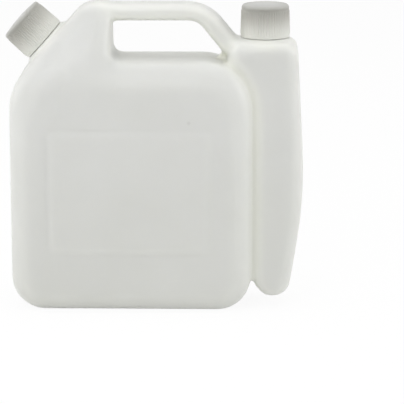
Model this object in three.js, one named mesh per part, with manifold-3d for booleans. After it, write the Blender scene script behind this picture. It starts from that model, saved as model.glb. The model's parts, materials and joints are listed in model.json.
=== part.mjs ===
// Two-chamber fuel mixing bottle: a blown bottle with a fuel tank, a hollow handle, an oil chamber
// and two necks, closed by two screw caps with sealing liners.
// Millimetres. X runs to the right seen from the front, Y to the back and Z up.

import * as THREE from 'three';
import { mergeVertices } from 'three/addons/utils/BufferGeometryUtils.js';
import Module from 'manifold-3d';

const wasm = await Module();
wasm.setup();

// Driving sizes. X is measured from the left side of the tank, Z from the surface that it stands on.

// Blown wall
const WALL = 1.4;

// Fuel tank
const TANK_WIDTH = 167;
const TANK_DEPTH = 70;
const TANK_HEIGHT = 175.5;
const TANK_FOOT_RADIUS = 23.5;
const TANK_SHOULDER_RADIUS = 34;
const TANK_EDGE_RUN = 15;
const TANK_EDGE_DROP = 12.5;

// Tower above the tank, cut by the slope that carries the spout
const TOWER_WIDTH = 70.3;
const TOWER_HEIGHT = 213.7;
const TOWER_TOP_DEPTH = 27;
const TOWER_EDGE_RUN = 9;
const TOWER_FILLET = 6.5;
const TOWER_HEEL_RADIUS = 9.5;
const TAPER_FOOT = 157;
const TAPER_EASE = 0.5;
const SLOPE_ANGLE = 48;
const SLOPE_TOP_RADIUS = 16;
const SLOPE_FOOT_RADIUS = 44;

// Handle bar and the leg that runs down to the oil chamber
const HANDLE_THICKNESS = 12.4;
const HANDLE_DEPTH = 25;
const HANDLE_BEND_INSIDE = 129.8;
const HANDLE_BEND_OUTSIDE = 137.3;
const HANDLE_INNER_RADIUS = 12;
const HANDLE_OUTER_RADIUS = 33;
const HANDLE_LEG_ANGLE = 51;
const HANDLE_EDGE_RUN = 5;
const HANDLE_EDGE_DROP = 8;
const HANDLE_OVERLAP = 12;
const HANDLE_ROOT_FILLET = 3.5;
const HANDLE_INSET = 0.5;

// Oil chamber
const CHAMBER_DEPTH = 44;
const CHAMBER_HEIGHT = 188;
const CHAMBER_FOOT = 7.8;
const CHAMBER_FOOT_RADIUS = 12;
const CHAMBER_TOP_WIDTH = 47.4;
const CHAMBER_HEAD_LEFT = 151.8;
const CHAMBER_HEAD_FOOT = 173.5;
const CHAMBER_FOOT_RIGHT = 193;
const CHAMBER_BELLY_RIGHT = 204.7;
const CHAMBER_BELLY_Z = 79.6;
const CHAMBER_BELLY_RADIUS = 320;
const CHAMBER_KEEL_ANGLE = 46;
const CHAMBER_EDGE_RUN = 7;
const CHAMBER_EDGE_DROP = 8;
const CHAMBER_TOP_RADIUS = 9.5;
const CHAMBER_CORNER_RADIUS = 8;

// Pinched web between the tank and the oil chamber
const WEB_WIDTH = 2.2;
const WEB_THICKNESS = 2.6;
const WEB_FOOT = 16;
const WEB_TIP_X = 145.5;
const WEB_TIP_Z = 178.2;
const WEB_ROOT = 8;

// Raised panel on both faces
const PANEL_WIDTH = 114;
const PANEL_HEIGHT = 87;
const PANEL_CENTRE_Z = 85;
const PANEL_RADIUS = 6;
const PANEL_RISE = 0.7;
const PANEL_SLOPE = 2.6;

// Recess under the tank
const RECESS_MARGIN_X = 36;
const RECESS_DEPTH_Y = 34;
const RECESS_RISE = 1.6;
const RECESS_SLOPE = 4;
const RECESS_RADIUS = 9;

// Necks
const NECK_RADIUS = 14.2;
const NECK_BORE_RADIUS = 12.7;
const NECK_LIP_RADIUS = 0.6;
const SPOUT_X = 25.4;
const SPOUT_Z = 185.1;
const SPOUT_COLLAR = 3;
const OIL_NECK_X = 176.8;
const OIL_COLLAR = 1.5;
const COLLAR_ROOT = 5;
const COLLAR_FLARE = 2.2;

// Screw caps, and the liners in them
const CAP_HEIGHT = 22;
const CAP_CROWN = 1;
const CAP_FOOT_RADIUS = 17;
const CAP_TOP_RADIUS = 16.3;
const CAP_EDGE_RADIUS = 2;
const CAP_TOP_THICKNESS = 1.8;
const CAP_BORE_RADIUS = 15.5;
const CAP_RIBS = 60;
const CAP_RIB_HEIGHT = 0.45;
const CAP_RIB_FOOT = 1.1;
const CAP_RIB_MARGIN = 2.2;
const LINER_THICKNESS = 1.2;

// Clearances between separate pieces
const CAP_FOOT_GAP = 0.6;
const LINER_GAP = 0.3;
const LINER_SIDE_GAP = 0.4;

// Fineness of the curves
const ARC_STEP = 11;
const TOWER_STEP = 7;
const BODY_EDGE_STEPS = 5;
const SMALL_EDGE_STEPS = 4;
const NECK_SEGMENTS = 36;
const CAP_EDGE_STEPS = 2;
const CROWN_RING_SHARE = 0.6;

// Every point added for overlap lies this deep in what it is joined to
const SINK = 4;

const rad = THREE.MathUtils.degToRad;

// Joining and cutting

function solidOf(geometry) {
  geometry.deleteAttribute('normal');
  geometry.deleteAttribute('uv');
  const merged = mergeVertices(geometry, 1e-4);
  const vertProperties = new Float32Array(merged.attributes.position.array);
  const triVerts = new Uint32Array(merged.index.array);
  return new wasm.Manifold(new wasm.Mesh({ numProp: 3, vertProperties, triVerts }));
}

function geometryOf(solid) {
  const mesh = solid.getMesh();
  const geometry = new THREE.BufferGeometry();
  geometry.setAttribute('position', new THREE.BufferAttribute(mesh.vertProperties, 3));
  geometry.setIndex(new THREE.BufferAttribute(mesh.triVerts, 1));
  const flat = geometry.toNonIndexed();
  flat.computeVertexNormals();
  return flat;
}

function joined(solids) {
  return solids.reduce((sum, solid) => sum.add(solid));
}

// Outlines in the X-Z plane, counter-clockwise seen from the front

function corner(x, z, radius) {
  return { x, z, radius };
}

function heading(from, to) {
  const length = Math.hypot(to.x - from.x, to.z - from.z);
  return { x: (to.x - from.x) / length, z: (to.z - from.z) / length };
}

// Points of a closed outline with rounded corners, each with its outward normal
function outline(corners) {
  const points = [];
  corners.forEach((at, i) => {
    const into = heading(corners[(i + corners.length - 1) % corners.length], at);
    const out = heading(at, corners[(i + 1) % corners.length]);
    const turn = Math.atan2(into.x * out.z - into.z * out.x, into.x * out.x + into.z * out.z);
    const side = Math.sign(turn);
    const reach = at.radius * Math.tan(Math.abs(turn) / 2);
    const centreX = at.x - into.x * reach - into.z * at.radius * side;
    const centreZ = at.z - into.z * reach + into.x * at.radius * side;
    const steps = Math.max(1, Math.ceil(Math.abs(turn) / rad(ARC_STEP)));
    for (let k = 0; k <= steps; k += 1) {
      const angle = (turn * k) / steps;
      const nx = into.z * Math.cos(angle) + into.x * Math.sin(angle);
      const nz = into.z * Math.sin(angle) - into.x * Math.cos(angle);
      const arm = at.radius * side;
      points.push({ x: centreX + nx * arm, z: centreZ + nz * arm, nx, nz });
    }
  });
  return points;
}

// The same outline with more points on its straight stretches above a height
function withStepsAbove(points, height, spacing) {
  const finer = [];
  points.forEach((from, i) => {
    finer.push(from);
    const to = points[(i + 1) % points.length];
    const length = Math.hypot(to.x - from.x, to.z - from.z);
    const count = Math.max(from.z, to.z) > height ? Math.ceil(length / spacing) : 1;
    for (let k = 1; k < count; k += 1) {
      const share = k / count;
      const x = THREE.MathUtils.lerp(from.x, to.x, share);
      const z = THREE.MathUtils.lerp(from.z, to.z, share);
      finer.push({ x, z, nx: from.nx, nz: from.nz });
    }
  });
  return finer;
}

// Triangles across a ring, rung by rung between the two rails from its first point to its far point
function rungs(ring, far) {
  const triangles = [];
  const distance = (a, b) => ring[a].distanceTo(ring[b % ring.length]);
  let right = 0;
  let left = ring.length;
  while (right < far || left > far) {
    const goRight = left === far || (right < far && distance(right + 1, left) < distance(right, left - 1));
    const next = goRight ? right + 1 : left - 1;
    const rung = [left % ring.length, right, next];
    if (new Set(rung).size === 3) {
      triangles.push(rung);
    }
    right = goRight ? next : right;
    left = goRight ? left : next;
  }
  return triangles;
}

// A blown form: flat front and back faces that round over into a wall along the outline.
// The wall offset gives the hollow inside it.
function pillow(points, form, offset = 0) {
  const at = (point, angle, side) => {
    const run = (form.run(point.z) - offset) * (1 - Math.sin(angle));
    const x = point.x - point.nx * (offset + run);
    const z = point.z - point.nz * (offset + run);
    const drop = (form.drop - offset) / (form.halfDepth(0) - offset);
    const half = form.halfDepth(z) - offset;
    return new THREE.Vector3(x, side * half * (1 - drop * (1 - Math.cos(angle))), z);
  };
  const rings = [];
  for (let k = 0; k <= form.steps; k += 1) {
    const angle = (Math.PI / 2) * (k / form.steps);
    rings.splice(k, 0, points.map((point) => at(point, angle, -1)));
    rings.splice(rings.length - k, 0, points.map((point) => at(point, angle, 1)));
  }
  const count = points.length;
  const far = points.reduce((best, point, i) => (form.along(point) > form.along(points[best]) ? i : best), 0);
  const index = [];
  for (let k = 0; k + 1 < rings.length; k += 1) {
    for (let i = 0; i < count; i += 1) {
      const a = k * count + i;
      const b = k * count + ((i + 1) % count);
      index.push(a, a + count, b + count, a, b + count, b);
    }
  }
  const last = (rings.length - 1) * count;
  rungs(rings[0], far).forEach(([a, b, c]) => {
    index.push(a, b, c);
    index.push(last + a, last + c, last + b);
  });
  const geometry = new THREE.BufferGeometry().setFromPoints(rings.flat());
  geometry.setIndex(index);
  return solidOf(geometry);
}

// A body of revolution about +Z from a profile of [radius, height] pairs
function revolved(profile, segments = NECK_SEGMENTS) {
  const points = profile.map(([radius, height]) => new THREE.Vector2(radius, height));
  return new THREE.LatheGeometry(points, segments).rotateX(Math.PI / 2);
}

// Fuel tank with its tower

function towerTaper(z) {
  const share = THREE.MathUtils.clamp((z - TAPER_FOOT) / (TOWER_HEIGHT - TAPER_FOOT), 0, 1);
  const eased = share < TAPER_EASE ? share ** 2 / (2 * TAPER_EASE) : share - TAPER_EASE / 2;
  return eased / (1 - TAPER_EASE / 2);
}

const slopeRise = Math.tan(rad(SLOPE_ANGLE));

function tankOutline() {
  const slopeFoot = corner(0, SPOUT_Z - SPOUT_X * slopeRise, SLOPE_FOOT_RADIUS);
  const slopeTop = corner(SPOUT_X + (TOWER_HEIGHT - SPOUT_Z) / slopeRise, TOWER_HEIGHT, SLOPE_TOP_RADIUS);
  const points = outline([
    corner(TANK_WIDTH, 0, TANK_FOOT_RADIUS),
    corner(TANK_WIDTH, TANK_HEIGHT, TANK_SHOULDER_RADIUS),
    corner(TOWER_WIDTH, TANK_HEIGHT, TOWER_FILLET),
    corner(TOWER_WIDTH, TOWER_HEIGHT, TOWER_HEEL_RADIUS),
    slopeTop,
    slopeFoot,
    corner(0, 0, TANK_FOOT_RADIUS),
  ]);
  return withStepsAbove(points, TAPER_FOOT, TOWER_STEP);
}

const tankForm = {
  halfDepth: (z) => THREE.MathUtils.lerp(TANK_DEPTH, TOWER_TOP_DEPTH, towerTaper(z)) / 2,
  run: (z) => THREE.MathUtils.lerp(TANK_EDGE_RUN, TOWER_EDGE_RUN, towerTaper(z)),
  drop: TANK_EDGE_DROP,
  steps: BODY_EDGE_STEPS,
  along: (point) => point.z,
};

// Oil chamber: narrow beside the tank, wider above its shoulder, with a slanting keel

function chamberOutline() {
  const wrap = TANK_SHOULDER_RADIUS + WEB_WIDTH;
  const centreX = TANK_WIDTH - TANK_SHOULDER_RADIUS;
  const centreZ = TANK_HEIGHT - TANK_SHOULDER_RADIUS;
  const armX = CHAMBER_HEAD_LEFT - centreX;
  const armZ = CHAMBER_HEAD_FOOT - centreZ;
  const touch = Math.atan2(armZ, armX) - Math.acos(Math.min(1, wrap / Math.hypot(armX, armZ)));
  const left = TANK_WIDTH + WEB_WIDTH;
  const keelDrop = WEB_FOOT - CHAMBER_FOOT;
  return outline([
    corner(left + keelDrop / Math.tan(rad(CHAMBER_KEEL_ANGLE)), CHAMBER_FOOT, CHAMBER_CORNER_RADIUS),
    corner(CHAMBER_FOOT_RIGHT, CHAMBER_FOOT, CHAMBER_FOOT_RADIUS),
    corner(CHAMBER_BELLY_RIGHT, CHAMBER_BELLY_Z, CHAMBER_BELLY_RADIUS),
    corner(CHAMBER_HEAD_LEFT + CHAMBER_TOP_WIDTH, CHAMBER_HEIGHT, CHAMBER_TOP_RADIUS),
    corner(CHAMBER_HEAD_LEFT, CHAMBER_HEIGHT, CHAMBER_CORNER_RADIUS),
    corner(CHAMBER_HEAD_LEFT, CHAMBER_HEAD_FOOT, CHAMBER_CORNER_RADIUS),
    corner(left, centreZ + wrap * Math.tan(touch / 2), wrap),
    corner(left, WEB_FOOT, CHAMBER_CORNER_RADIUS),
  ]);
}

const chamberForm = {
  halfDepth: () => CHAMBER_DEPTH / 2,
  run: () => CHAMBER_EDGE_RUN,
  drop: CHAMBER_EDGE_DROP,
  steps: SMALL_EDGE_STEPS,
  along: (point) => point.z,
};

// Handle: a bar from the tower's top and a leg down into the oil chamber's head

function handleOutline() {
  const underside = TOWER_HEIGHT - HANDLE_THICKNESS;
  const start = TOWER_WIDTH - HANDLE_OVERLAP;
  const fall = Math.tan(rad(HANDLE_LEG_ANGLE));
  const legEnd = CHAMBER_HEAD_FOOT + SINK;
  const innerEnd = HANDLE_BEND_INSIDE + (underside - legEnd) / fall;
  const outerEnd = HANDLE_BEND_OUTSIDE + (TOWER_HEIGHT - legEnd) / fall;
  const rootX = TOWER_WIDTH - HANDLE_INSET;
  const rootZ = underside - HANDLE_EDGE_RUN - HANDLE_ROOT_FILLET;
  return outline([
    corner(start, rootZ, HANDLE_EDGE_RUN),
    corner(rootX, rootZ, HANDLE_EDGE_RUN),
    corner(rootX, underside, HANDLE_ROOT_FILLET),
    corner(HANDLE_BEND_INSIDE, underside, HANDLE_INNER_RADIUS),
    corner(innerEnd, legEnd, HANDLE_EDGE_RUN),
    corner(outerEnd, legEnd, HANDLE_EDGE_RUN),
    corner(HANDLE_BEND_OUTSIDE, TOWER_HEIGHT, HANDLE_OUTER_RADIUS),
    corner(start, TOWER_HEIGHT, HANDLE_EDGE_RUN),
  ]);
}

const handleForm = {
  halfDepth: () => HANDLE_DEPTH / 2,
  run: () => HANDLE_EDGE_RUN,
  drop: HANDLE_EDGE_DROP,
  steps: SMALL_EDGE_STEPS,
  along: (point) => point.x - point.z,
};

// A flat plate in the X-Z plane, centred on the parting plane
function plate(points, thickness, bevel = {}) {
  const shape = new THREE.Shape(points.map((point) => new THREE.Vector2(point.x, point.z)));
  const geometry = new THREE.ExtrudeGeometry(shape, { depth: thickness, bevelEnabled: false, ...bevel });
  geometry.rotateX(Math.PI / 2);
  geometry.translate(0, thickness / 2, 0);
  return solidOf(geometry);
}

// Web: fills the slit between the tank and the oil chamber, and the wedge under the handle's leg
function web() {
  const slitRight = TANK_WIDTH + WEB_WIDTH + SINK;
  const slitLeft = TANK_WIDTH - SINK;
  const shoulderZ = TANK_HEIGHT - TANK_SHOULDER_RADIUS;
  return plate([
    corner(slitLeft, WEB_FOOT),
    corner(slitRight, WEB_FOOT),
    corner(slitRight, shoulderZ),
    corner(CHAMBER_HEAD_LEFT + SINK, WEB_TIP_Z),
    corner(WEB_TIP_X, WEB_TIP_Z),
    corner(TANK_WIDTH - TANK_SHOULDER_RADIUS + SINK, TANK_HEIGHT - WEB_ROOT),
    corner(slitLeft, shoulderZ),
  ], WEB_THICKNESS);
}

function roundedRectangle(centreX, centreZ, width, height, radius) {
  return outline([
    corner(centreX + width / 2, centreZ - height / 2, radius),
    corner(centreX + width / 2, centreZ + height / 2, radius),
    corner(centreX - width / 2, centreZ + height / 2, radius),
    corner(centreX - width / 2, centreZ - height / 2, radius),
  ]);
}

// Panel: a plate through the tank that stands proud of both faces with sloping edges
function panel(offset = 0) {
  const width = PANEL_WIDTH - 2 * offset;
  const height = PANEL_HEIGHT - 2 * offset;
  const points = roundedRectangle(TANK_WIDTH / 2, PANEL_CENTRE_Z, width, height, PANEL_RADIUS);
  const bevel = {
    bevelEnabled: true,
    bevelThickness: PANEL_RISE,
    bevelSize: PANEL_SLOPE,
    bevelOffset: -PANEL_SLOPE,
    bevelSegments: 1,
  };
  return plate(points, TANK_DEPTH - 2 * offset, bevel);
}

// Recess under the tank, so that it stands on a ring and doesn't rock
function recess(offset = 0) {
  const width = TANK_WIDTH - 2 * RECESS_MARGIN_X + 2 * offset;
  const points = roundedRectangle(TANK_WIDTH / 2, 0, width, RECESS_DEPTH_Y + 2 * offset, RECESS_RADIUS);
  const shape = new THREE.Shape(points.map((point) => new THREE.Vector2(point.x, point.z)));
  const geometry = new THREE.ExtrudeGeometry(shape, {
    depth: WALL,
    bevelEnabled: true,
    bevelThickness: RECESS_RISE + offset,
    bevelSize: RECESS_SLOPE,
    bevelOffset: -RECESS_SLOPE,
    bevelSegments: 1,
  });
  geometry.translate(0, 0, -WALL);
  return solidOf(geometry);
}

// Necks. Heights are measured along the neck from the surface that it stands on.

function collarFace(collar) {
  return collar + CAP_FOOT_GAP;
}

function rimHeight(collar) {
  return collarFace(collar) + CAP_HEIGHT - CAP_TOP_THICKNESS - LINER_THICKNESS - 2 * LINER_GAP;
}

function neckOutside(collar) {
  const rim = rimHeight(collar);
  const foot = CAP_FOOT_RADIUS;
  return revolved([
    [0, -COLLAR_ROOT],
    [foot + COLLAR_FLARE, -COLLAR_ROOT],
    [foot + COLLAR_FLARE / 3, collar / 3],
    [foot, collar],
    [NECK_RADIUS, collar],
    [NECK_RADIUS, rim - NECK_LIP_RADIUS],
    [NECK_RADIUS - NECK_LIP_RADIUS, rim],
    [0, rim],
  ]);
}

function neckInside(collar) {
  const above = rimHeight(collar) + SINK;
  return revolved([
    [0, -COLLAR_ROOT - SINK],
    [CAP_FOOT_RADIUS - WALL, -COLLAR_ROOT - SINK],
    [CAP_FOOT_RADIUS - WALL, -WALL],
    [NECK_BORE_RADIUS, collar + WALL],
    [NECK_BORE_RADIUS, above],
    [0, above],
  ]);
}

// Where each neck stands, and which way it points
const fuelNeck = {
  collar: SPOUT_COLLAR,
  position: new THREE.Vector3(SPOUT_X, 0, SPOUT_Z),
  tilt: -rad(SLOPE_ANGLE),
};
const oilNeck = {
  collar: OIL_COLLAR,
  position: new THREE.Vector3(OIL_NECK_X, 0, CHAMBER_HEIGHT),
  tilt: 0,
};

function onNeck(geometry, neck) {
  return geometry.rotateY(neck.tilt).translate(neck.position.x, neck.position.y, neck.position.z);
}

function bottleGeometry() {
  const tank = tankOutline();
  const chamber = chamberOutline();
  const handle = handleOutline();
  const outside = joined([
    pillow(tank, tankForm),
    panel(),
    pillow(chamber, chamberForm),
    pillow(handle, handleForm),
    web(),
    solidOf(onNeck(neckOutside(fuelNeck.collar), fuelNeck)),
    solidOf(onNeck(neckOutside(oilNeck.collar), oilNeck)),
  ]);
  const tankHollow = pillow(tank, tankForm, WALL).add(panel(WALL)).subtract(recess(WALL));
  const hollow = joined([
    tankHollow,
    pillow(chamber, chamberForm, WALL),
    pillow(handle, handleForm, WALL),
    solidOf(onNeck(neckInside(fuelNeck.collar), fuelNeck)),
    solidOf(onNeck(neckInside(oilNeck.collar), oilNeck)),
  ]);
  return geometryOf(outside.subtract(recess()).subtract(hollow));
}

// Caps. Heights are measured from the cap's foot.

// Rings of a cap's outside as [radius, height, share of the rib height], from its foot to its crowned top
function capStations() {
  const edgeFoot = CAP_HEIGHT - CAP_EDGE_RADIUS;
  const radiusAt = (height) => THREE.MathUtils.lerp(CAP_FOOT_RADIUS, CAP_TOP_RADIUS, height / CAP_HEIGHT);
  const ribStart = CAP_RIB_FOOT + CAP_RIB_HEIGHT;
  const ribTop = edgeFoot - CAP_RIB_MARGIN;
  const stations = [
    [radiusAt(0), 0, 0],
    [radiusAt(CAP_RIB_FOOT), CAP_RIB_FOOT, 0],
    [radiusAt(ribStart), ribStart, 1],
    [radiusAt(ribTop), ribTop, 1],
  ];
  for (let k = 0; k <= CAP_EDGE_STEPS; k += 1) {
    const angle = (Math.PI / 2) * (k / CAP_EDGE_STEPS);
    const radius = radiusAt(edgeFoot) - CAP_EDGE_RADIUS * (1 - Math.cos(angle));
    stations.push([radius, edgeFoot + CAP_EDGE_RADIUS * Math.sin(angle), 0]);
  }
  const crownRadius = CROWN_RING_SHARE * (radiusAt(edgeFoot) - CAP_EDGE_RADIUS);
  stations.push([crownRadius, CAP_HEIGHT + CAP_CROWN * (1 - CROWN_RING_SHARE ** 2), 0]);
  return stations;
}

function capOutside() {
  const stations = capStations();
  const count = 2 * CAP_RIBS;
  const points = stations.flatMap(([radius, height, share]) => {
    const ring = [];
    for (let i = 0; i < count; i += 1) {
      const angle = (2 * Math.PI * i) / count;
      const reach = radius + (i % 2) * share * CAP_RIB_HEIGHT;
      ring.push(new THREE.Vector3(reach * Math.cos(angle), reach * Math.sin(angle), height));
    }
    return ring;
  });
  const foot = points.push(new THREE.Vector3(0, 0, 0)) - 1;
  const top = points.push(new THREE.Vector3(0, 0, CAP_HEIGHT + CAP_CROWN)) - 1;
  const last = (stations.length - 1) * count;
  const index = [];
  for (let i = 0; i < count; i += 1) {
    const next = (i + 1) % count;
    index.push(foot, next, i, top, last + i, last + next);
    for (let k = 0; k < last; k += count) {
      index.push(k + i, k + next, k + next + count, k + i, k + next + count, k + i + count);
    }
  }
  const geometry = new THREE.BufferGeometry().setFromPoints(points);
  geometry.setIndex(index);
  return solidOf(geometry);
}

function capInside() {
  const ceiling = CAP_HEIGHT - CAP_TOP_THICKNESS;
  const profile = [[0, -SINK], [CAP_BORE_RADIUS, -SINK], [CAP_BORE_RADIUS, ceiling], [0, ceiling]];
  return solidOf(revolved(profile));
}

function capGeometry() {
  return geometryOf(capOutside().subtract(capInside()));
}

function linerGeometry() {
  const ceiling = CAP_HEIGHT - CAP_TOP_THICKNESS;
  const upper = ceiling - LINER_GAP;
  const lower = upper - LINER_THICKNESS;
  const radius = CAP_BORE_RADIUS - LINER_SIDE_GAP;
  return revolved([[0, lower], [radius, lower], [radius, upper], [0, upper]]);
}

// Colours and finish
const naturalPolyethylene = { color: 0xd6d8d2, roughness: 0.42, metalness: 0 };
const capPlastic = { color: 0xc4c5c0, roughness: 0.45, metalness: 0 };
const linerFoam = { color: 0xe6e5df, roughness: 0.8, metalness: 0 };

function piece(name, geometry, look) {
  const mesh = new THREE.Mesh(geometry, new THREE.MeshStandardMaterial(look));
  mesh.name = name;
  return mesh;
}

// A cap and its liner, standing on their neck
function capOn(neck, name) {
  const group = new THREE.Group();
  group.add(piece(name, capGeometry(), capPlastic));
  group.add(piece(`${name}_liner`, linerGeometry(), linerFoam));
  group.rotation.y = neck.tilt;
  group.position.copy(neck.position);
  group.translateZ(collarFace(neck.collar));
  return group;
}

const assembly = new THREE.Group();
assembly.add(piece('bottle', bottleGeometry(), naturalPolyethylene));
assembly.add(capOn(fuelNeck, 'fuel_cap'));
assembly.add(capOn(oilNeck, 'oil_cap'));

// The origin lies on the ground under the middle of the whole part
const box = new THREE.Box3().setFromObject(assembly);
const centre = box.getCenter(new THREE.Vector3());
assembly.position.set(-centre.x, -centre.y, -box.min.z);

const part = new THREE.Group();
part.add(assembly);

export default part;
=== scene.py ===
"""A two-chamber fuel mixing bottle of natural polyethylene with two ribbed screw caps.

The blown body is one smooth surface, drawn from the outlines of its tank, handle and oil chamber, which
melt into each other. Its necks and the caps carry threads of the lead that the joints have.
"""
import json
import math

import bpy
import numpy as np
from mathutils import Matrix, Vector


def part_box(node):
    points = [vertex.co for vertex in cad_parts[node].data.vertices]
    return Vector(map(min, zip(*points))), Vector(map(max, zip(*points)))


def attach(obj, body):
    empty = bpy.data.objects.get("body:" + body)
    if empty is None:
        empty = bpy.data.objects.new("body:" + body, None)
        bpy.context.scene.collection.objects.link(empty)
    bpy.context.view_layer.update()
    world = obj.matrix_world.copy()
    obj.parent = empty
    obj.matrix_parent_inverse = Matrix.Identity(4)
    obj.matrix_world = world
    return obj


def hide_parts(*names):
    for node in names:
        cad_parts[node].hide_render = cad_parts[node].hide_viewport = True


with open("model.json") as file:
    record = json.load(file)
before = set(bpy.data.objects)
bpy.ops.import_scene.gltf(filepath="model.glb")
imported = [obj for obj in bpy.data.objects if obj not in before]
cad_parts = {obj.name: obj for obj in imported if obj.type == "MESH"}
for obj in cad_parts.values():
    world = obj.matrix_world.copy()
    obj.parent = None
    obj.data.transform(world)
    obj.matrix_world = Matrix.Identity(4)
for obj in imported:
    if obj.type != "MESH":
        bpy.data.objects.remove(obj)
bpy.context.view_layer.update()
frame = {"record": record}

MM = 0.001

# Sizes in millimetres. X runs from the tank's left side, Z from the floor, as in the solid model.
WALL = 1.4

TANK_WIDTH = 167
TANK_DEPTH = 70
TANK_HEIGHT = 175.5
TANK_FOOT_RADIUS = 23.5
TANK_SHOULDER_RADIUS = 34
TANK_EDGE_RUN = 15
TANK_EDGE_DROP = 12.5

TOWER_WIDTH = 70.3
TOWER_HEIGHT = 213.7
TOWER_TOP_DEPTH = 27
TOWER_EDGE_RUN = 9
TOWER_FILLET = 6.5
TOWER_HEEL_RADIUS = 9.5
TOP_RUN_EXTRA = 6
TOP_RUN_RISE = (125, 155)
TOP_RUN_FALL = (178, 196)
TAPER_FOOT = 157
TAPER_EASE = 0.5
SLOPE_ANGLE = 48
SLOPE_TOP_RADIUS = 16
SLOPE_FOOT_RADIUS = 44

HANDLE_THICKNESS = 12.4
HANDLE_DEPTH = 25
HANDLE_BEND_INSIDE = 129.8
HANDLE_BEND_OUTSIDE = 137.3
HANDLE_INNER_RADIUS = 12
HANDLE_OUTER_RADIUS = 33
HANDLE_LEG_ANGLE = 51
HANDLE_EDGE_RUN = 5
HANDLE_EDGE_DROP = 8
HANDLE_OVERLAP = 12

CHAMBER_DEPTH = 44
CHAMBER_HEIGHT = 188
CHAMBER_FOOT = 7.8
CHAMBER_FOOT_RADIUS = 12
CHAMBER_TOP_WIDTH = 47.4
CHAMBER_HEAD_LEFT = 151.8
CHAMBER_HEAD_FOOT = 173.5
CHAMBER_FOOT_RIGHT = 193
CHAMBER_BELLY_RIGHT = 204.7
CHAMBER_BELLY_Z = 79.6
CHAMBER_BELLY_RADIUS = 320
CHAMBER_KEEL_ANGLE = 46
CHAMBER_EDGE_RUN = 7
CHAMBER_EDGE_DROP = 8
CHAMBER_TOP_RADIUS = 9.5
CHAMBER_CORNER_RADIUS = 8

WEB_WIDTH = 2.2
WEB_THICKNESS = 2.6
WEB_FOOT = 16
WEB_TIP_X = 145.5
WEB_TIP_Z = 178.2
WEB_ROOT = 8

PANEL_WIDTH = 114
PANEL_HEIGHT = 87
PANEL_CENTRE_Z = 85
PANEL_RADIUS = 6
PANEL_RISE = 0.7
PANEL_SLOPE = 2.6

RECESS_MARGIN_X = 36
RECESS_DEPTH_Y = 34
RECESS_RISE = 1.6
RECESS_SLOPE = 4
RECESS_RADIUS = 9

NECK_RADIUS = 14.2
NECK_BORE_RADIUS = 12.7
NECK_LIP_RADIUS = 0.6
SPOUT_X = 25.4
SPOUT_Z = 185.1
SPOUT_COLLAR = 3
OIL_NECK_X = 176.8
OIL_COLLAR = 1.5
COLLAR_ROOT = 5
COLLAR_FLARE = 1.1
SPOUT_MELT = 4
OIL_NECK_MELT = 2.5
NECK_SINK = 1

CAP_HEIGHT = 22
CAP_CROWN = 1
CAP_FOOT_RADIUS = 17
CAP_TOP_RADIUS = 16.3
CAP_EDGE_RADIUS = 2
CAP_TOP_THICKNESS = 1.8
CAP_BORE_RADIUS = 15.5
CAP_RIBS = 60
SHOWN_RIB_HEIGHT = 0.28
CAP_RIB_FOOT = 1.1
CAP_RIB_MARGIN = 1.6
RIB_FADE = 0.8
RIB_FULLNESS = 0.8
LINER_THICKNESS = 1.2
CAP_FOOT_GAP = 0.6
LINER_GAP = 0.3
LINER_SIDE_GAP = 0.4
LINER_BEAD = 0.3
LINER_BEAD_RUN = 1

# The shown caps reach further down than the solid ones, to a hair above their collars
CAP_SKIRT_DROP = 0.4
CAP_SKIRT_CORNER = 0.4
CAP_SKIRT_INSET = 0.3
CAP_BORE_FOOT = 0.2
CAP_BORE_CORNER = 0.6
CAP_CEILING_INSET = 1
CROWN_SHARES = (0.85, 0.65, 0.4, 0.2)

# Threads: a ridge on the neck and one in the cap, half a turn apart
THREAD_HEIGHT = 0.9
THREAD_HALF_WIDTH = 0.95
THREAD_CREST = 1.6
THREAD_FADE = 0.12
NECK_THREAD_MARGIN = 3.2
THREAD_TURNS = 2.4

# Softness of the blown body where its forms meet, and the spacing of its surface points
HANDLE_MELT = 4.5
CHAMBER_MELT = 8.5
NOTCH_MELT = 2.2
NOTCH_HEIGHT = 6
WEB_MELT = 2.5
OUTER_STEP = 1.5
INNER_STEP = 2.8
OUTER_ROUNDS = 4
INNER_ROUNDS = 2
SMOOTHING = 0.5
ARC_STEP = 3

# The field of a blown form is true near its surface. Nearer its middle than this share it is level.
CORE_SHARE = 0.2
CORE_DEPTH = 0.8
TINY = 1e-9

# Points around and along the turned pieces, and how near a point has to be to count as on a wall
ROUND_STEPS = 96
NECK_STEPS = 128
NECK_ROWS = 48
RIB_STEPS = 6
CAP_BORE_ROWS = 56
CAP_SIDE_ROWS = 34
CAP_EDGE_STEPS = 8
ON_WALL = 0.05

# Edges sharper than these angles, in degrees, are shown as creases
BODY_CREASE = 40
CAP_CREASE = 50
LINER_CREASE = 30

# Surface: moulded grain, the parting line's bead and a small dark inclusion in the front face
GRAIN_HEIGHT = 0.012
SEAM_HEIGHT = 0.15
SEAM_HALF_WIDTH = 0.5
SPECK_PLACE = (26.1, -35, 134.7)
SPECK_RADIUS = 1.6
# Height below which painted shade darkens the body's colour towards the floor
FOOT_SHADE_HEIGHT = 130
CLOUD_SCALE = 18
GRAIN_SCALE = 1400
CAP_CLOUD_SCALE = 60
CAP_GRAIN_SCALE = 1800
FOAM_SCALE = 900
FOAM_STRENGTH = 0.6
FOAM_HEIGHT = 0.1
CLOUD_LOW = 0.3
CLOUD_HIGH = 0.7
BOTTLE_ROUGHNESS = (0.3, 0.42)
CAP_ROUGHNESS = (0.34, 0.46)
FOAM_ROUGHNESS = (0.7, 0.9)
SCATTER_RADIUS = (1, 0.99, 0.95)
PLASTIC_IOR = 1.5
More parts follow.
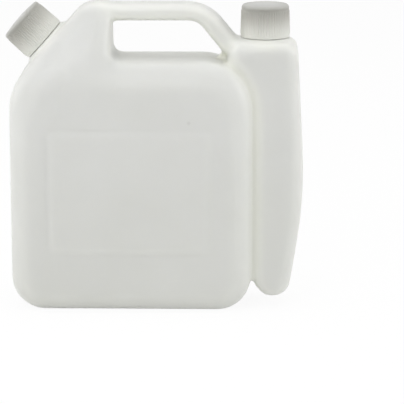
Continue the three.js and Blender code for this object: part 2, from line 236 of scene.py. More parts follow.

# Colours. The cap's grey plastic gets painted light and shade up its height, from its foot at 0 to its crown
# at 1: darkest towards the closed end, lighter at the foot and the crown.
PLAIN = (1, 1, 1)
NATURAL_DARK = (0.785, 0.792, 0.727)
NATURAL_LIGHT = (0.815, 0.822, 0.757)
SPECK_TONE = (0.92, 0.915, 0.91)
# Painted shade: the body's colour at the floor, fading out upwards
FOOT_PAINTED_SHADE = (0.94, 0.94, 0.94)
# Painted shade and light on the cap's grey: darker towards the closed end, lighter at the foot
CAP_GREY_AND_PAINTED_SHADE = (
    (0.0, (0.74, 0.745, 0.7)),
    (0.25, (0.64, 0.64, 0.6)),
    (0.6, (0.46, 0.455, 0.42)),
    (0.85, (0.37, 0.365, 0.335)),
    (0.96, (0.48, 0.48, 0.455)),
    (1.0, (0.57, 0.57, 0.55)),
)
CAP_CLOUD = (0.96, 0.96, 0.96)
FOAM_DARK = (0.7, 0.69, 0.64)
FOAM_LIGHT = (0.8, 0.79, 0.74)

# Studio, in metres and watts: each softbox has a name, a place, a size and a power
FLOOR_HALF = 6.0
FLOOR_TONE = (0.9, 0.9, 0.9, 1)
FLOOR_ROUGHNESS = 0.9
FLOOR_GLOW = 0.92
WHITE = (1, 1, 1, 1)
WORLD_STRENGTH = 0.68
SOFTBOXES = (
    ("front", (-0.3, -0.8, 0.75), 0.7, 2.8),
    ("top", (0, 0.1, 1.7), 1.3, 6.5),
    ("right", (1.5, -0.1, 0.6), 0.9, 6),
    ("left", (-1.5, -0.1, 0.6), 0.9, 4),
)

# Camera, as the photograph was taken: 404 pixels each way
PHOTO_PIXELS = 404
TARGET_HEIGHT = 107
TARGET_PIXEL = (153.2, 152.5)
TARGET_SCALE = 0.702
CAMERA_DISTANCE = 1625
CAMERA_ELEVATION = 11.75
CAMERA_AZIMUTH = 2.75
CAMERA_ROLL = 0.4
SENSOR_WIDTH = 36
CLIP_END = 50


# The place of the model's own X in the row frame, and the thread's lead, from the frame

def cap_centre_x(name):
    low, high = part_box(name)
    return (low[0] + high[0]) / 2


ORIGIN_X = cap_centre_x("oil_cap") / MM - OIL_NECK_X


def thread_lead(joint):
    """Millimetres that a cap rises in one turn."""
    for coupling in frame["record"]["behaviour"]["couplings"]:
        if coupling["joint"] == joint:
            return coupling["ratio"] * 2 * math.pi / MM
    raise ValueError(joint)


# Outlines: closed polygons in the X-Z plane with rounded corners, counter-clockwise from the front

def heading(start, end):
    length = math.hypot(end[0] - start[0], end[1] - start[1])
    return (end[0] - start[0]) / length, (end[1] - start[1]) / length


def outline(corners):
    """Points of a polygon given as (x, z, radius) corners."""
    points = []
    for i, (x, z, radius) in enumerate(corners):
        into = heading(corners[i - 1], corners[i])
        out = heading(corners[i], corners[(i + 1) % len(corners)])
        cross = into[0] * out[1] - into[1] * out[0]
        dot = into[0] * out[0] + into[1] * out[1]
        turn = math.atan2(cross, dot)
        side = math.copysign(1, turn)
        reach = radius * math.tan(abs(turn) / 2)
        centre_x = x - into[0] * reach - into[1] * radius * side
        centre_z = z - into[1] * reach + into[0] * radius * side
        steps = max(1, math.ceil(abs(turn) / math.radians(ARC_STEP)))
        for k in range(steps + 1):
            angle = turn * k / steps
            normal_x = into[1] * math.cos(angle) + into[0] * math.sin(angle)
            normal_z = into[1] * math.sin(angle) - into[0] * math.cos(angle)
            points.append((centre_x + normal_x * radius * side, centre_z + normal_z * radius * side))
    return points


def tank_outline():
    rise = math.tan(math.radians(SLOPE_ANGLE))
    return outline([
        (TANK_WIDTH, 0, TANK_FOOT_RADIUS),
        (TANK_WIDTH, TANK_HEIGHT, TANK_SHOULDER_RADIUS),
        (TOWER_WIDTH, TANK_HEIGHT, TOWER_FILLET),
        (TOWER_WIDTH, TOWER_HEIGHT, TOWER_HEEL_RADIUS),
        (SPOUT_X + (TOWER_HEIGHT - SPOUT_Z) / rise, TOWER_HEIGHT, SLOPE_TOP_RADIUS),
        (0, SPOUT_Z - SPOUT_X * rise, SLOPE_FOOT_RADIUS),
        (0, 0, TANK_FOOT_RADIUS),
    ])


def chamber_outline():
    wrap = TANK_SHOULDER_RADIUS + WEB_WIDTH
    centre_x = TANK_WIDTH - TANK_SHOULDER_RADIUS
    centre_z = TANK_HEIGHT - TANK_SHOULDER_RADIUS
    arm_x = CHAMBER_HEAD_LEFT - centre_x
    arm_z = CHAMBER_HEAD_FOOT - centre_z
    touch = math.atan2(arm_z, arm_x) - math.acos(min(1, wrap / math.hypot(arm_x, arm_z)))
    left = TANK_WIDTH + WEB_WIDTH
    keel_x = left + (WEB_FOOT - CHAMBER_FOOT) / math.tan(math.radians(CHAMBER_KEEL_ANGLE))
    return outline([
        (keel_x, CHAMBER_FOOT, CHAMBER_CORNER_RADIUS),
        (CHAMBER_FOOT_RIGHT, CHAMBER_FOOT, CHAMBER_FOOT_RADIUS),
        (CHAMBER_BELLY_RIGHT, CHAMBER_BELLY_Z, CHAMBER_BELLY_RADIUS),
        (CHAMBER_HEAD_LEFT + CHAMBER_TOP_WIDTH, CHAMBER_HEIGHT, CHAMBER_TOP_RADIUS),
        (CHAMBER_HEAD_LEFT, CHAMBER_HEIGHT, CHAMBER_CORNER_RADIUS),
        (CHAMBER_HEAD_LEFT, CHAMBER_HEAD_FOOT, CHAMBER_CORNER_RADIUS),
        (left, centre_z + wrap * math.tan(touch / 2), wrap),
        (left, WEB_FOOT, CHAMBER_CORNER_RADIUS),
    ])


def handle_outline():
    underside = TOWER_HEIGHT - HANDLE_THICKNESS
    start = TOWER_WIDTH - HANDLE_OVERLAP
    fall = math.tan(math.radians(HANDLE_LEG_ANGLE))
    leg_end = CHAMBER_HEAD_FOOT + HANDLE_EDGE_RUN
    return outline([
        (start, underside, HANDLE_EDGE_RUN),
        (HANDLE_BEND_INSIDE, underside, HANDLE_INNER_RADIUS),
        (HANDLE_BEND_INSIDE + (underside - leg_end) / fall, leg_end, HANDLE_EDGE_RUN),
        (HANDLE_BEND_OUTSIDE + (TOWER_HEIGHT - leg_end) / fall, leg_end, HANDLE_EDGE_RUN),
        (HANDLE_BEND_OUTSIDE, TOWER_HEIGHT, HANDLE_OUTER_RADIUS),
        (start, TOWER_HEIGHT, HANDLE_EDGE_RUN),
    ])


def web_outline():
    shoulder_z = TANK_HEIGHT - TANK_SHOULDER_RADIUS
    sink = 2 * WEB_WIDTH
    return [
        (TANK_WIDTH - sink, WEB_FOOT),
        (TANK_WIDTH + WEB_WIDTH + sink, WEB_FOOT),
        (TANK_WIDTH + WEB_WIDTH + sink, shoulder_z),
        (CHAMBER_HEAD_LEFT + sink, WEB_TIP_Z),
        (WEB_TIP_X, WEB_TIP_Z),
        (TANK_WIDTH - TANK_SHOULDER_RADIUS + sink, TANK_HEIGHT - WEB_ROOT),
        (TANK_WIDTH - sink, shoulder_z),
    ]


def rounded_rectangle(centre_x, centre_z, width, height, radius):
    return outline([
        (centre_x + width / 2, centre_z - height / 2, radius),
        (centre_x + width / 2, centre_z + height / 2, radius),
        (centre_x - width / 2, centre_z + height / 2, radius),
        (centre_x - width / 2, centre_z - height / 2, radius),
    ])


def inset(points, x, z):
    """How far inside a polygon each point of the arrays lies; outside it the value is negative."""
    nearest = np.full(np.broadcast(x, z).shape, np.inf)
    inside = np.zeros(nearest.shape, bool)
    for (ax, az), (bx, bz) in zip(points, points[1:] + points[:1]):
        dx = bx - ax
        dz = bz - az
        length = dx * dx + dz * dz
        if length == 0:
            continue
        share = np.clip(((x - ax) * dx + (z - az) * dz) / length, 0, 1)
        nearest = np.minimum(nearest, (x - ax - share * dx) ** 2 + (z - az - share * dz) ** 2)
        if az != bz:
            inside ^= ((az > z) != (bz > z)) & (x < ax + (z - az) * dx / dz)
    return np.where(inside, 1, -1) * np.sqrt(nearest)


# The blown body as a field: millimetres outside its surface, negative inside

def melt(a, b, width):
    """Union of two fields with a soft fillet."""
    mix = np.maximum(width - np.abs(a - b), 0) / width
    return np.minimum(a, b) - mix * mix * width / 4


def tower_taper(z):
    share = np.clip((z - TAPER_FOOT) / (TOWER_HEIGHT - TAPER_FOOT), 0, 1)
    eased = np.where(share < TAPER_EASE, share ** 2 / (2 * TAPER_EASE), share - TAPER_EASE / 2)
    return eased / (1 - TAPER_EASE / 2)


def blown_form(depth_in, y, half, run, drop):
    """A form with flat faces half deep that round over, by run and drop, into a wall along its outline."""
    across = np.maximum(run - depth_in, 0) / run
    along = np.maximum(np.abs(y) - (half - drop), 0) / drop
    size = np.hypot(across, along)
    slope = np.hypot(across / run, along / drop)
    outside = (size - 1) * size / np.maximum(slope, TINY)
    return np.where(size > CORE_SHARE, outside, -CORE_DEPTH * np.minimum(run, drop))


def smooth_step(value):
    share = np.clip(value, 0, 1)
    return share * share * (3 - 2 * share)


def tank_field(x, y, z, skin):
    taper = tower_taper(z)
    half = (TANK_DEPTH + (TOWER_TOP_DEPTH - TANK_DEPTH) * taper) / 2
    drop = TANK_EDGE_DROP * half / (TANK_DEPTH / 2) - skin
    rising = smooth_step((z - TOP_RUN_RISE[0]) / (TOP_RUN_RISE[1] - TOP_RUN_RISE[0]))
    falling = smooth_step((TOP_RUN_FALL[1] - z) / (TOP_RUN_FALL[1] - TOP_RUN_FALL[0]))
    extra = TOP_RUN_EXTRA * rising * falling
    run = TANK_EDGE_RUN + (TOWER_EDGE_RUN - TANK_EDGE_RUN) * taper + extra - skin
    panel = rounded_rectangle(TANK_WIDTH / 2, PANEL_CENTRE_Z, PANEL_WIDTH, PANEL_HEIGHT, PANEL_RADIUS)
    rise = PANEL_RISE * smooth_step(inset(panel, x, z) / PANEL_SLOPE)
    body = blown_form(inset(tank_outline(), x, z) - skin, y, half + rise - skin, run, drop)
    width = TANK_WIDTH - 2 * RECESS_MARGIN_X
    foot = rounded_rectangle(TANK_WIDTH / 2, 0, width, RECESS_DEPTH_Y, RECESS_RADIUS)
    floor = RECESS_RISE * smooth_step(inset(foot, x, y) / RECESS_SLOPE)
    return np.maximum(body, floor + skin - z)


def chamber_field(x, y, z, skin):
    depth_in = inset(chamber_outline(), x, z) - skin
    half = CHAMBER_DEPTH / 2 - skin
    return blown_form(depth_in, y, half, CHAMBER_EDGE_RUN - skin, CHAMBER_EDGE_DROP - skin)


def handle_field(x, y, z, skin):
    depth_in = inset(handle_outline(), x, z) - skin
    half = HANDLE_DEPTH / 2 - skin
    return blown_form(depth_in, y, half, HANDLE_EDGE_RUN - skin, HANDLE_EDGE_DROP - skin)


def collar_field(x, y, z, neck):
    """The flared foot of a neck, as a cone about the neck's axis."""
    along = (x - neck.x) * neck.lean_x + (z - neck.z) * neck.lean_z
    across = (x - neck.x) * neck.lean_z - (z - neck.z) * neck.lean_x
    share = np.clip(along / neck.collar, -1, 1)
    radius = CAP_FOOT_RADIUS + COLLAR_FLARE * (1 - share) ** 2
    side = np.hypot(across, y) - radius
    return np.maximum(np.maximum(side, along - neck.collar), -along - COLLAR_ROOT)


def body_field(x, y, z, skin):
    """The blown body. A skin above zero gives the hollow inside it."""
    tank = tank_field(x, y, z, skin)
    chamber = chamber_field(x, y, z, skin)
    handle = handle_field(x, y, z, skin)
    if skin:
        return np.minimum(melt(tank, handle, HANDLE_MELT / 2), melt(chamber, handle, HANDLE_MELT / 2))
    web = np.maximum(-inset(web_outline(), x, z), np.abs(y) - WEB_THICKNESS / 2)
    soft = NOTCH_MELT + (CHAMBER_MELT - NOTCH_MELT) * smooth_step((z - WEB_FOOT) / NOTCH_HEIGHT)
    body = melt(tank, chamber, soft)
    body = melt(body, handle, HANDLE_MELT)
    body = melt(body, web, WEB_MELT)
    for neck in NECKS:
        body = melt(body, collar_field(x, y, z, neck), neck.melt)
    return body


def sampled(field, step):
    """A field's values on a grid around the body, and the grid's axes."""
    margin = 3 * step
    rows = math.ceil((TANK_DEPTH / 2 + margin) / step)
    axes = [
        np.arange(-margin - step, CHAMBER_BELLY_RIGHT + margin, step),
        np.arange(-rows, rows + 1) * step,
        np.arange(-margin, TOWER_HEIGHT + margin + step, step),
    ]
    x = axes[0][:, None, None]
    y = axes[1][None, :, None]
    z = axes[2][None, None, :]
    return field(x, y, z), axes


def crossing_surface(values, axes):
    """Vertices and outward quads where the sampled field crosses zero, one vertex in each crossed cell."""
    shape = tuple(n - 1 for n in values.shape)
    total = np.zeros(shape + (3,))
    count = np.zeros(shape)
    grid = np.meshgrid(*axes, indexing="ij")
    inside = values < 0
    edges = []
    for axis in range(3):
        low = [slice(None)] * 3
        high = [slice(None)] * 3
        low[axis] = slice(None, -1)
        high[axis] = slice(1, None)
        a = values[tuple(low)]
        b = values[tuple(high)]
        crossed = inside[tuple(low)] != inside[tuple(high)]
        share = np.where(crossed, a / np.where(crossed, a - b, 1), 0)
        points = np.stack([g[tuple(low)] for g in grid], axis=-1)
        points[..., axis] += share * (axes[axis][1] - axes[axis][0])
        points *= crossed[..., None]
        u, v = [other for other in range(3) if other != axis]
        for du in (0, 1):
            for dv in (0, 1):
                cut = [slice(None)] * 3
                cut[u] = slice(du, du + shape[u])
                cut[v] = slice(dv, dv + shape[v])
                total += points[tuple(cut)]
                count += crossed[tuple(cut)]
        edges.append((crossed, inside[tuple(low)]))
    used = count > 0
    number = np.full(shape, -1)
    number[used] = np.arange(used.sum())
    vertices = total[used] / count[used][:, None]
    quads = []
    for axis, (crossed, low_inside) in enumerate(edges):
        at = np.argwhere(crossed)
        u = (axis + 1) % 3
        v = (axis + 2) % 3
        ring = []
        for du, dv in ((-1, -1), (0, -1), (0, 0), (-1, 0)):
            cell = at.copy()
            cell[:, u] += du
            cell[:, v] += dv
            ring.append(number[cell[:, 0], cell[:, 1], cell[:, 2]])
        faces = np.stack(ring, axis=1)
        outward = low_inside[at[:, 0], at[:, 1], at[:, 2]]
        quads.append(np.where(outward[:, None], faces, faces[:, ::-1]))
    return vertices, np.concatenate(quads)


# Meshes

def new_piece(name, vertices, faces):
    mesh = bpy.data.meshes.new(name)
    mesh.from_pydata(np.asarray(vertices).tolist(), [], [list(face) for face in faces])
    mesh.validate()
    mesh.shade_smooth()
    piece = bpy.data.objects.new(name, mesh)
    bpy.context.collection.objects.link(piece)
    return piece


def apply_modifiers(piece):
    bpy.context.view_layer.update()
    graph = bpy.context.evaluated_depsgraph_get()
    mesh = bpy.data.meshes.new_from_object(piece.evaluated_get(graph))
    piece.modifiers.clear()
    old = piece.data
    piece.data = mesh
    bpy.data.meshes.remove(old)


def combine(piece, other, operation):
    boolean = piece.modifiers.new(operation.lower(), "BOOLEAN")
    boolean.operation = operation
    boolean.solver = "MANIFOLD"
    boolean.object = other
    apply_modifiers(piece)
    old = other.data
    bpy.data.objects.remove(other)
    bpy.data.meshes.remove(old)


def softened(piece, rounds):
    smooth = piece.modifiers.new("smooth", "SMOOTH")
    smooth.factor = SMOOTHING
    smooth.iterations = rounds
    apply_modifiers(piece)


def body_mesh(name, skin, step, rounds):
    values, axes = sampled(lambda x, y, z: body_field(x, y, z, skin), step)
    vertices, quads = crossing_surface(values, axes)
    vertices[:, 0] += ORIGIN_X
    piece = new_piece(name, vertices * MM, quads)
    softened(piece, rounds)
    return piece


def spaced(start, end, count):
    """Points from start up to but without end."""
    return [tuple(a + (b - a) * i / count for a, b in zip(start, end)) for i in range(count)]


def lathe(name, profile, count, relief=None):
    """A closed body about +Z. The profile's (radius, height) points start and end on the axis."""
    radius = np.array([point[0] for point in profile])
    height = np.array([point[1] for point in profile])
    angle = np.arange(count) * 2 * math.pi / count
    rings_radius = np.repeat(radius[1:-1, None], count, axis=1)
    rings_height = np.repeat(height[1:-1, None], count, axis=1)
    if relief:
        rings_radius = rings_radius + relief(rings_radius, rings_height, angle[None, :])
    ring_points = np.stack([
        rings_radius * np.cos(angle),
        rings_radius * np.sin(angle),
        rings_height,
    ], axis=-1).reshape(-1, 3)
    first = len(ring_points)
    ends = [(0, 0, height[0]), (0, 0, height[-1])]
    vertices = np.concatenate([ring_points, ends])
    rings = len(profile) - 2
    faces = []
    for i in range(count):
        j = (i + 1) % count
        faces.append((first, j, i))
        last = (rings - 1) * count
        faces.append((first + 1, last + i, last + j))
        for k in range(0, last, count):
            faces.append((k + i, k + j, k + j + count, k + i + count))
    volume = sum(radius[i] * radius[i] * (height[i + 1] - height[i]) for i in range(len(radius) - 1))
    if volume < 0:
        faces = [face[::-1] for face in faces]
    return new_piece(name, vertices * MM, faces)


# Necks and caps

class Neck:
    """Where a neck stands and which way it points."""

    def __init__(self, x, z, lean, collar, soft):
        self.x = x
        self.z = z
        self.collar = collar
        self.melt = soft
        self.lean = math.radians(lean)
        self.lean_x = math.sin(self.lean)
        self.lean_z = math.cos(self.lean)

    def rim(self):
        return self.cap_foot() + CAP_HEIGHT - CAP_TOP_THICKNESS - LINER_THICKNESS - 2 * LINER_GAP

    def cap_foot(self):
        return self.collar + CAP_FOOT_GAP

    def matrix(self, along=0):
        place = Vector((self.x + ORIGIN_X + self.lean_x * along, 0, self.z + self.lean_z * along)) * MM
        return Matrix.Translation(place) @ Matrix.Rotation(self.lean, 4, "Y")


FUEL_NECK = Neck(SPOUT_X, SPOUT_Z, -SLOPE_ANGLE, SPOUT_COLLAR, SPOUT_MELT)
OIL_NECK = Neck(OIL_NECK_X, CHAMBER_HEIGHT, 0, OIL_COLLAR, OIL_NECK_MELT)
NECKS = (FUEL_NECK, OIL_NECK)


def thread(height, angle, start, lead):
    """Relief of a right-hand thread from 0 to 1 that starts at a height and fades at both ends."""
    turns = (height - start) / lead - angle / (2 * math.pi)
    nearest = np.round(turns)
    ridge = np.clip(1 - np.abs(turns - nearest) * lead / THREAD_HALF_WIDTH, 0, 1)
    run = nearest + angle / (2 * math.pi)
    fade = smooth_step(run / THREAD_FADE) * smooth_step((THREAD_TURNS - run) / THREAD_FADE)
    return smooth_step(THREAD_CREST * ridge) * fade


def threaded_neck(name, neck, lead):
    rim = neck.rim()
    foot = neck.collar - NECK_SINK
    lip = (NECK_RADIUS, rim - NECK_LIP_RADIUS)
    profile = [(0, foot)] + spaced((NECK_RADIUS, foot), lip, NECK_ROWS)
    profile += [lip, (NECK_RADIUS - NECK_LIP_RADIUS, rim), (0, rim)]
    start = neck.collar + NECK_THREAD_MARGIN

    def relief(radius, height, angle):
        on_wall = radius > NECK_RADIUS - ON_WALL
        return THREAD_HEIGHT * thread(height, angle, start, lead) * on_wall

    piece = lathe(name, profile, NECK_STEPS, relief)
    piece.data.transform(neck.matrix())
    return piece


def bore(name, neck):
    above = neck.rim() + COLLAR_ROOT
    inner = CAP_FOOT_RADIUS - WALL
    piece = lathe(name, [
        (0, -COLLAR_ROOT - WALL),
        (inner, -COLLAR_ROOT - WALL),
        (inner, -WALL),
        (NECK_BORE_RADIUS, neck.collar + WALL),
        (NECK_BORE_RADIUS, above),
        (0, above),
    ], ROUND_STEPS)
    piece.data.transform(neck.matrix())
    return piece


def bottle():
    piece = body_mesh("blown_bottle", 0, OUTER_STEP, OUTER_ROUNDS)
    combine(piece, threaded_neck("fuel_neck", FUEL_NECK, thread_lead("fuel_cap_lift")), "UNION")
    combine(piece, threaded_neck("oil_neck", OIL_NECK, thread_lead("oil_cap_lift")), "UNION")
    combine(piece, body_mesh("hollow", WALL, INNER_STEP, INNER_ROUNDS), "DIFFERENCE")
    combine(piece, bore("fuel_bore", FUEL_NECK), "DIFFERENCE")
    combine(piece, bore("oil_bore", OIL_NECK), "DIFFERENCE")
    piece.data.shade_smooth()
    piece.data.set_sharp_from_angle(angle=math.radians(BODY_CREASE))
    return piece


def cap_side(height):
    return CAP_FOOT_RADIUS + (CAP_TOP_RADIUS - CAP_FOOT_RADIUS) * height / CAP_HEIGHT


def cap(name, neck, lead):
    """A ribbed cap with its own thread, in its own coordinates, then put on its neck."""
    ceiling = CAP_HEIGHT - CAP_TOP_THICKNESS
    edge_foot = CAP_HEIGHT - CAP_EDGE_RADIUS
    edge_radius = cap_side(edge_foot) - CAP_EDGE_RADIUS
    foot = -CAP_SKIRT_DROP
    bore_top = (CAP_BORE_RADIUS, ceiling - CAP_BORE_CORNER)
    bore_foot = (CAP_BORE_RADIUS, CAP_BORE_FOOT)
    side_foot = (cap_side(CAP_SKIRT_CORNER), CAP_SKIRT_CORNER)
    side_top = (cap_side(edge_foot), edge_foot)
    profile = [(0, ceiling), (CAP_BORE_RADIUS - CAP_CEILING_INSET, ceiling)]
    profile += spaced(bore_top, bore_foot, CAP_BORE_ROWS)
    profile += [bore_foot, (CAP_BORE_RADIUS + CAP_SKIRT_INSET, foot), (cap_side(0) - CAP_SKIRT_INSET, foot)]
    profile += spaced(side_foot, side_top, CAP_SIDE_ROWS)
    for k in range(CAP_EDGE_STEPS + 1):
        angle = math.pi / 2 * k / CAP_EDGE_STEPS
        profile.append((edge_radius + CAP_EDGE_RADIUS * math.cos(angle),
                        edge_foot + CAP_EDGE_RADIUS * math.sin(angle)))
    for share in CROWN_SHARES:
        profile.append((edge_radius * share, CAP_HEIGHT + CAP_CROWN * (1 - share ** 2)))
    profile.append((0, CAP_HEIGHT + CAP_CROWN))
    start = NECK_THREAD_MARGIN - CAP_FOOT_GAP + lead / 2

    def relief(radius, height, angle):
        inner = np.abs(radius - CAP_BORE_RADIUS) < ON_WALL
        outer = radius > cap_side(height) - ON_WALL
        ribs = (0.5 + 0.5 * np.cos(CAP_RIBS * angle)) ** RIB_FULLNESS
        low = smooth_step((height - CAP_RIB_FOOT) / RIB_FADE)
        high = smooth_step((edge_foot - CAP_RIB_MARGIN - height) / RIB_FADE)
        ribbing = np.where(outer, SHOWN_RIB_HEIGHT * ribs * low * high, 0)
        return np.where(inner, -THREAD_HEIGHT * thread(height, angle, start, lead), ribbing)

    piece = lathe(name, profile, CAP_RIBS * RIB_STEPS, relief)
    piece.matrix_world = neck.matrix(neck.cap_foot())
    piece.data.set_sharp_from_angle(angle=math.radians(CAP_CREASE))
    return piece


def liner(name, neck):
    upper = CAP_HEIGHT - CAP_TOP_THICKNESS - LINER_GAP
    lower = upper - LINER_THICKNESS
    radius = CAP_BORE_RADIUS - LINER_SIDE_GAP
    piece = lathe(name, [
        (0, lower),
        (NECK_BORE_RADIUS - LINER_BEAD_RUN, lower),
        (NECK_BORE_RADIUS, lower + LINER_BEAD),
        (NECK_RADIUS, lower + LINER_BEAD),
        (NECK_RADIUS + LINER_BEAD, lower),
        (radius - LINER_BEAD, lower),
        (radius, lower + LINER_BEAD),
        (radius, upper - LINER_BEAD),
        (radius - LINER_BEAD, upper),
        (0, upper),
    ], ROUND_STEPS)
    piece.matrix_world = neck.matrix(neck.cap_foot())
    piece.data.set_sharp_from_angle(angle=math.radians(LINER_CREASE))
    return piece


# Materials

class Nodes:
    """Short calls for building a node material."""

    def __init__(self, name):
        self.material = bpy.data.materials.new(name)
        self.material.use_nodes = True
        self.tree = self.material.node_tree
        self.shader = self.tree.nodes["Principled BSDF"]

    def add(self, kind, **values):
        node = self.tree.nodes.new(kind)
        for key, value in values.items():
            setattr(node, key, value)
        return node

    def link(self, source, target):
        self.tree.links.new(source, target)

    def coordinates(self):
        return self.add("ShaderNodeTexCoord").outputs["Object"]

    def noise(self, vector, scale, detail):
        node = self.add("ShaderNodeTexNoise")
        node.inputs["Scale"].default_value = scale
        node.inputs["Detail"].default_value = detail
        self.link(vector, node.inputs["Vector"])
        return node.outputs["Fac"]

    def ramp(self, value, stops):
        node = self.add("ShaderNodeValToRGB")
        ramp = node.color_ramp
        ramp.elements[0].position = stops[0][0]
        ramp.elements[0].color = (*stops[0][1], 1)
        ramp.elements[1].position = stops[-1][0]
        ramp.elements[1].color = (*stops[-1][1], 1)
        for position, colour in stops[1:-1]:
            ramp.elements.new(position).color = (*colour, 1)
        self.link(value, node.inputs["Fac"])
        return node.outputs["Color"]

    def clouded(self, noise, dark, light):
        return self.ramp(noise, [(CLOUD_LOW, dark), (CLOUD_HIGH, light)])

    def between(self, value, from_low, from_high, low, high):
        """A value brought from one range to another and held inside it."""
        node = self.add("ShaderNodeMapRange")
        limits = {"From Min": from_low, "From Max": from_high, "To Min": low, "To Max": high}
        for key, limit in limits.items():
            node.inputs[key].default_value = limit
        self.link(value, node.inputs["Value"])
        return node.outputs["Result"]

    def scatter(self, weight, reach):
        self.shader.inputs["Subsurface Weight"].default_value = weight
        self.shader.inputs["Subsurface Radius"].default_value = SCATTER_RADIUS
        self.shader.inputs["Subsurface Scale"].default_value = reach * MM
        self.shader.inputs["IOR"].default_value = PLASTIC_IOR

    def multiplied(self, first, second):
        node = self.add("ShaderNodeMix", data_type="RGBA", blend_type="MULTIPLY")
        node.inputs["Factor"].default_value = 1
        self.link(first, node.inputs[6])
        self.link(second, node.inputs[7])
        return node.outputs[2]

    def bump(self, height, strength, distance):
        node = self.add("ShaderNodeBump")
        node.inputs["Strength"].default_value = strength
        node.inputs["Distance"].default_value = distance * MM
        self.link(height, node.inputs["Height"])
        self.link(node.outputs["Normal"], self.shader.inputs["Normal"])


def bottle_material(name):
    """Natural polyethylene: faintly clouded and satin, with painted shade that darkens it towards its foot,
    the mould's parting line and one small dark inclusion."""
    nodes = Nodes(name)
    place = nodes.coordinates()
    cloud = nodes.clouded(nodes.noise(place, CLOUD_SCALE, 2), NATURAL_DARK, NATURAL_LIGHT)
    apart = nodes.add("ShaderNodeVectorMath", operation="DISTANCE")
    nodes.link(place, apart.inputs[0])
    apart.inputs[1].default_value = [value * MM for value in SPECK_PLACE]
    speck = nodes.between(apart.outputs["Value"], SPECK_RADIUS * MM / 2, SPECK_RADIUS * MM, 0, 1)
    dark = nodes.ramp(speck, [(0, SPECK_TONE), (1, PLAIN)])
    parts = nodes.add("ShaderNodeSeparateXYZ")
    nodes.link(place, parts.inputs["Vector"])
    # Painted shade: the colour darkens towards the foot, standing in for less light reaching the bottom
    low = nodes.between(parts.outputs["Z"], 0, FOOT_SHADE_HEIGHT * MM, 0, 1)
    foot = nodes.ramp(low, [(0, FOOT_PAINTED_SHADE), (1, PLAIN)])
    nodes.link(nodes.multiplied(nodes.multiplied(cloud, dark), foot), nodes.shader.inputs["Base Color"])
    grain = nodes.noise(place, GRAIN_SCALE, 4)
    nodes.link(nodes.between(grain, 0, 1, *BOTTLE_ROUGHNESS), nodes.shader.inputs["Roughness"])
    depth = nodes.add("ShaderNodeMath", operation="ABSOLUTE")
    nodes.link(parts.outputs["Y"], depth.inputs[0])
    seam = nodes.between(depth.outputs[0], 0, SEAM_HALF_WIDTH * MM, SEAM_HEIGHT / GRAIN_HEIGHT, 0)
    height = nodes.add("ShaderNodeMath", operation="ADD")
    nodes.link(grain, height.inputs[0])
    nodes.link(seam, height.inputs[1])
    nodes.bump(height.outputs[0], 1, GRAIN_HEIGHT)
    nodes.scatter(1, 5)
    return nodes.material


def liner_material(name):
    nodes = Nodes(name)
    place = nodes.coordinates()
    foam = nodes.noise(place, FOAM_SCALE, 5)
    nodes.link(nodes.clouded(foam, FOAM_DARK, FOAM_LIGHT), nodes.shader.inputs["Base Color"])
    nodes.link(nodes.between(foam, 0, 1, *FOAM_ROUGHNESS), nodes.shader.inputs["Roughness"])
    nodes.bump(foam, FOAM_STRENGTH, FOAM_HEIGHT)
    nodes.scatter(0.2, 1)
    return nodes.material


def cap_material(name):
    """The caps' grey plastic, with painted shade that darkens it towards the closed end, where the liner and
    neck inside would hold back light, and painted light that brightens it towards the foot.
    """
    nodes = Nodes(name)
    place = nodes.coordinates()
    height = nodes.add("ShaderNodeSeparateXYZ")
    nodes.link(place, height.inputs["Vector"])
    share = nodes.between(height.outputs["Z"], 0, (CAP_HEIGHT + CAP_CROWN) * MM, 0, 1)
    # Painted shade and light up the cap: darker towards the closed end, lighter at the foot
    grey_and_painted_shade = nodes.ramp(share, CAP_GREY_AND_PAINTED_SHADE)
    cloud = nodes.clouded(nodes.noise(place, CAP_CLOUD_SCALE, 2), CAP_CLOUD, PLAIN)
    nodes.link(nodes.multiplied(grey_and_painted_shade, cloud), nodes.shader.inputs["Base Color"])
    grain = nodes.noise(place, CAP_GRAIN_SCALE, 3)
    nodes.link(nodes.between(grain, 0, 1, *CAP_ROUGHNESS), nodes.shader.inputs["Roughness"])
    nodes.bump(grain, 1, GRAIN_HEIGHT)
    nodes.scatter(1, 2)
    return nodes.material


def floor_material():
    """White to the camera and in reflections, with part of the object's shadow; plain white to other rays."""
    nodes = Nodes("studio_floor")
    nodes.shader.inputs["Base Color"].default_value = FLOOR_TONE
    nodes.shader.inputs["Roughness"].default_value = FLOOR_ROUGHNESS
    nodes.shader.inputs["Specular IOR Level"].default_value = 0
    glow = nodes.add("ShaderNodeEmission")
    rays = nodes.add("ShaderNodeLightPath")
    seen = nodes.add("ShaderNodeMath", operation="MAXIMUM")
    nodes.link(rays.outputs["Is Camera Ray"], seen.inputs[0])
    nodes.link(rays.outputs["Is Glossy Ray"], seen.inputs[1])
    also = nodes.add("ShaderNodeMath", operation="MAXIMUM")
    nodes.link(seen.outputs[0], also.inputs[0])
    nodes.link(rays.outputs["Is Transmission Ray"], also.inputs[1])
    part = nodes.add("ShaderNodeMath", operation="MULTIPLY")
    part.inputs[1].default_value = FLOOR_GLOW
    nodes.link(also.outputs[0], part.inputs[0])
    mix = nodes.add("ShaderNodeMixShader")
    nodes.link(part.outputs[0], mix.inputs["Fac"])
    nodes.link(nodes.shader.outputs["BSDF"], mix.inputs[1])
    nodes.link(glow.outputs["Emission"], mix.inputs[2])
    nodes.link(mix.outputs["Shader"], nodes.tree.nodes["Material Output"].inputs["Surface"])
    return nodes.material


# Studio

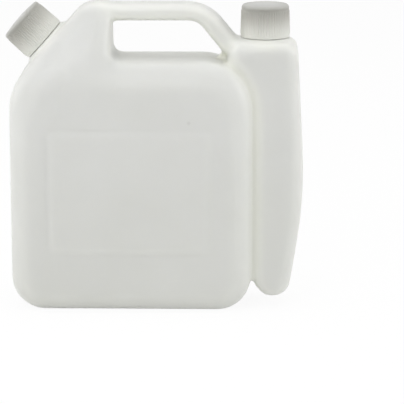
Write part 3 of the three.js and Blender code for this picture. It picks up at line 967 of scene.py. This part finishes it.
def studio():
    half = FLOOR_HALF
    corners = [(-half, -half, 0), (half, -half, 0), (half, half, 0), (-half, half, 0)]
    floor = new_piece("floor", corners, [(0, 1, 2, 3)])
    floor.data.materials.append(floor_material())
    world = bpy.data.worlds.new("studio")
    bpy.context.scene.world = world
    world.use_nodes = True
    tree = world.node_tree
    light = tree.nodes["Background"]
    light.inputs["Color"].default_value = WHITE
    light.inputs["Strength"].default_value = WORLD_STRENGTH
    sky = tree.nodes.new("ShaderNodeBackground")
    rays = tree.nodes.new("ShaderNodeLightPath")
    mix = tree.nodes.new("ShaderNodeMixShader")
    seen = tree.nodes.new("ShaderNodeMath")
    seen.operation = "MAXIMUM"
    sky.inputs["Color"].default_value = WHITE
    tree.links.new(rays.outputs["Is Camera Ray"], seen.inputs[0])
    tree.links.new(rays.outputs["Is Transmission Ray"], seen.inputs[1])
    tree.links.new(seen.outputs[0], mix.inputs["Fac"])
    tree.links.new(light.outputs[0], mix.inputs[1])
    tree.links.new(sky.outputs[0], mix.inputs[2])
    tree.links.new(mix.outputs[0], tree.nodes["World Output"].inputs["Surface"])
    for values in SOFTBOXES:
        softbox(*values)


def softbox(name, place, size, power):
    lamp = bpy.data.lights.new(name, "AREA")
    lamp.shape = "SQUARE"
    lamp.size = size
    lamp.energy = power
    item = bpy.data.objects.new(name, lamp)
    item.location = place
    aim = Vector((0, 0, TARGET_HEIGHT * MM)) - Vector(place)
    item.rotation_euler = aim.to_track_quat("-Z", "Y").to_euler()
    bpy.context.collection.objects.link(item)


def camera():
    data = bpy.data.cameras.new("camera")
    data.sensor_width = SENSOR_WIDTH
    data.lens = SENSOR_WIDTH * CAMERA_DISTANCE / (PHOTO_PIXELS * TARGET_SCALE)
    data.shift_x = (PHOTO_PIXELS / 2 - TARGET_PIXEL[0]) / PHOTO_PIXELS
    data.shift_y = -(PHOTO_PIXELS / 2 - TARGET_PIXEL[1]) / PHOTO_PIXELS
    data.clip_end = CLIP_END
    item = bpy.data.objects.new("camera", data)
    azimuth = math.radians(CAMERA_AZIMUTH)
    elevation = math.radians(CAMERA_ELEVATION)
    away = Vector((
        math.sin(azimuth) * math.cos(elevation),
        -math.cos(azimuth) * math.cos(elevation),
        math.sin(elevation),
    ))
    target = Vector((0, 0, TARGET_HEIGHT * MM))
    place = target + away * CAMERA_DISTANCE * MM
    turn = (target - place).to_track_quat("-Z", "Y").to_matrix().to_4x4()
    roll = Matrix.Rotation(math.radians(-CAMERA_ROLL), 4, "Z")
    item.matrix_world = Matrix.Translation(place) @ turn @ roll
    bpy.context.collection.objects.link(item)
    bpy.context.scene.camera = item
    bpy.context.scene.view_settings.view_transform = "Standard"


def put(piece, body, node, material):
    piece.data.materials.clear()
    piece.data.materials.append(material)
    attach(piece, body)
    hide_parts(node)


camera()
studio()

natural = bottle_material("natural_polyethylene")
foam = liner_material("liner_foam")
ribbed = cap_material("cap_plastic")

put(bottle(), "bottle", "bottle", natural)
fuel_cap = cap("ribbed_fuel_cap", FUEL_NECK, thread_lead("fuel_cap_lift"))
oil_cap = cap("ribbed_oil_cap", OIL_NECK, thread_lead("oil_cap_lift"))
put(fuel_cap, "fuel_cap", "fuel_cap", ribbed)
put(oil_cap, "oil_cap", "oil_cap", ribbed)
put(liner("fuel_liner", FUEL_NECK), "fuel_cap_seal", "fuel_cap_liner", foam)
put(liner("oil_liner", OIL_NECK), "oil_cap_seal", "oil_cap_liner", foam)
